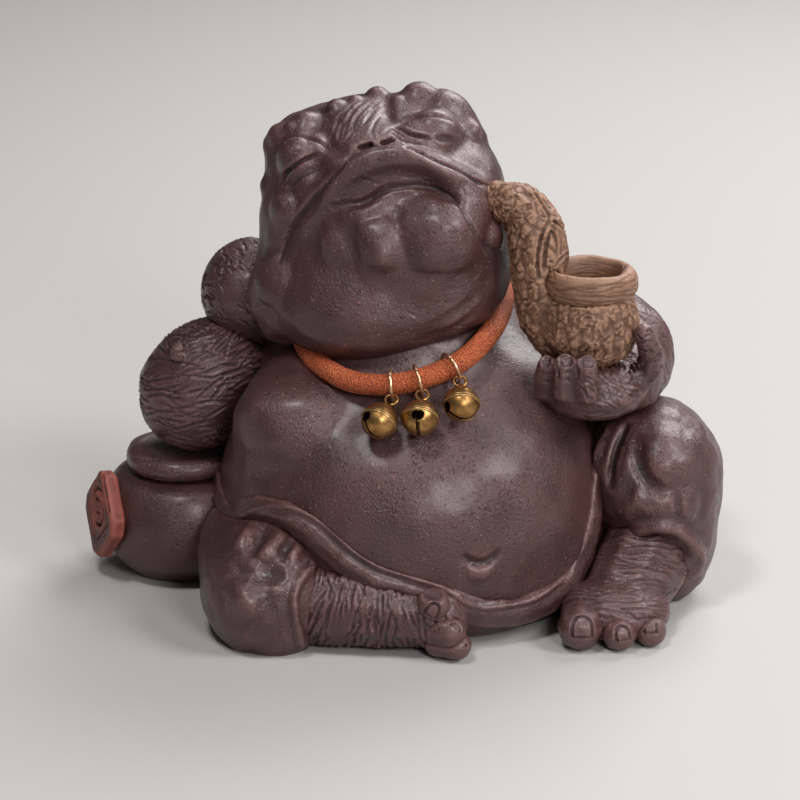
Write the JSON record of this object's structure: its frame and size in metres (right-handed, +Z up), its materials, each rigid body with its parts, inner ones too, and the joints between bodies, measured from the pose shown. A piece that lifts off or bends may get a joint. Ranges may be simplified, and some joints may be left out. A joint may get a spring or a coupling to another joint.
{
  "type": "tea pet figurine",
  "caption": "Lounging clay toad tea pet with a pipe in hand and an arm on a wine jar, its leather collar cord hung with brass jingle bells on split rings.",
  "frame": {"origin": "on the table, under the middle of the figure, at the flat base", "axes": "+Z up; the toad faces -Y, so its own left side, with the pipe, is at +X and the wine jar at -X"},
  "size_m": [0.1224, 0.0886, 0.0944],
  "materials": {
    "dark_clay": "burnished unglazed stoneware, dark purple-brown",
    "tan_clay": "rough unglazed tan stoneware, smoothed at the rim",
    "red_clay": "matt red-brown stoneware",
    "leather": "round cord of tan leather, dry grain",
    "polished_brass": "polished wire",
    "aged_brass": "antique, dark in the recesses"
  },
  "bodies": {
    "figure": {"torso": "dark_clay", "trouser_waistband": "dark_clay", "head": "dark_clay", "lower_lip": "dark_clay", "right_eyelid": "dark_clay", "left_eyelid": "dark_clay", "right_upper_arm": "dark_clay", "right_forearm": "dark_clay", "left_arm": "dark_clay", "left_palm": "dark_clay", "left_finger_1": "dark_clay", "left_finger_2": "dark_clay", "left_finger_3": "dark_clay", "left_thumb": "dark_clay", "right_trouser_leg": "dark_clay", "left_trouser_leg": "dark_clay", "right_shin": "dark_clay", "left_shin": "dark_clay", "left_foot": "dark_clay", "right_toe_1": "dark_clay", "right_toe_2": "dark_clay", "right_toe_3": "dark_clay", "left_toe_1": "dark_clay", "left_toe_2": "dark_clay", "left_toe_3": "dark_clay", "wine_jar": "dark_clay", "jar_rim": "dark_clay", "jar_label": "red_clay", "pipe": "tan_clay", "pipe_rim": "tan_clay", "collar_cord": "leather"},
    "ring_1": {"jump_ring_1": "polished_brass"},
    "bell_1": {"bell_1_cap": "aged_brass", "bell_1_cup": "aged_brass", "bell_1_loop": "aged_brass"},
    "pea_1": {"bell_1_pea": "aged_brass"},
    "ring_2": {"jump_ring_2": "polished_brass"},
    "bell_2": {"bell_2_cap": "aged_brass", "bell_2_cup": "aged_brass", "bell_2_loop": "aged_brass"},
    "pea_2": {"bell_2_pea": "aged_brass"},
    "ring_3": {"jump_ring_3": "polished_brass"},
    "bell_3": {"bell_3_cap": "aged_brass", "bell_3_cup": "aged_brass", "bell_3_loop": "aged_brass"},
    "pea_3": {"bell_3_pea": "aged_brass"}
  },
  "joints": [
    {"name": "ring_1_lift", "type": "hinge", "parent": "figure", "child": "ring_1", "pos_m": [-0.003, -0.03017, 0.04784], "axis": [-0.9927, 0.0519, -0.1088], "range_deg": [-8, 60]},
    {"name": "bell_1_swing", "type": "hinge", "parent": "ring_1", "child": "bell_1", "pos_m": [-0.00296, -0.03295, 0.04611], "axis": [0.1198, 0.5244, -0.843], "range_deg": [-2, 25]},
    {"name": "pea_1_rattle", "type": "slide", "parent": "bell_1", "child": "pea_1", "axis": [0.4232, 0.7411, 0.5211], "range_m": [0, 0.0019]},
    {"name": "ring_2_lift", "type": "hinge", "parent": "figure", "child": "ring_2", "pos_m": [0.0017, -0.02991, 0.04864], "axis": [-0.9626, -0.1604, -0.2185], "range_deg": [-9, 60]},
    {"name": "bell_2_swing", "type": "hinge", "parent": "ring_2", "child": "bell_2", "pos_m": [0.00253, -0.03259, 0.04694], "axis": [0.0956, 0.5532, -0.8276], "range_deg": [-12, 1]},
    {"name": "pea_2_rattle", "type": "slide", "parent": "bell_2", "child": "pea_2", "axis": [0.0909, 0.823, 0.5607], "range_m": [0, 0.0019]},
    {"name": "ring_3_lift", "type": "hinge", "parent": "figure", "child": "ring_3", "pos_m": [0.0076, -0.02809, 0.05037], "axis": [-0.8404, -0.4474, -0.3059], "range_deg": [-12, 60]},
    {"name": "bell_3_swing", "type": "hinge", "parent": "ring_3", "child": "bell_3", "pos_m": [0.00938, -0.03037, 0.04881], "axis": [-0.0011, 0.5658, -0.8245], "range_deg": [-30, 10]},
    {"name": "pea_3_rattle", "type": "slide", "parent": "bell_3", "child": "pea_3", "axis": [-0.0317, 0.8241, 0.5656], "range_m": [0, 0.0019]}
  ]
}
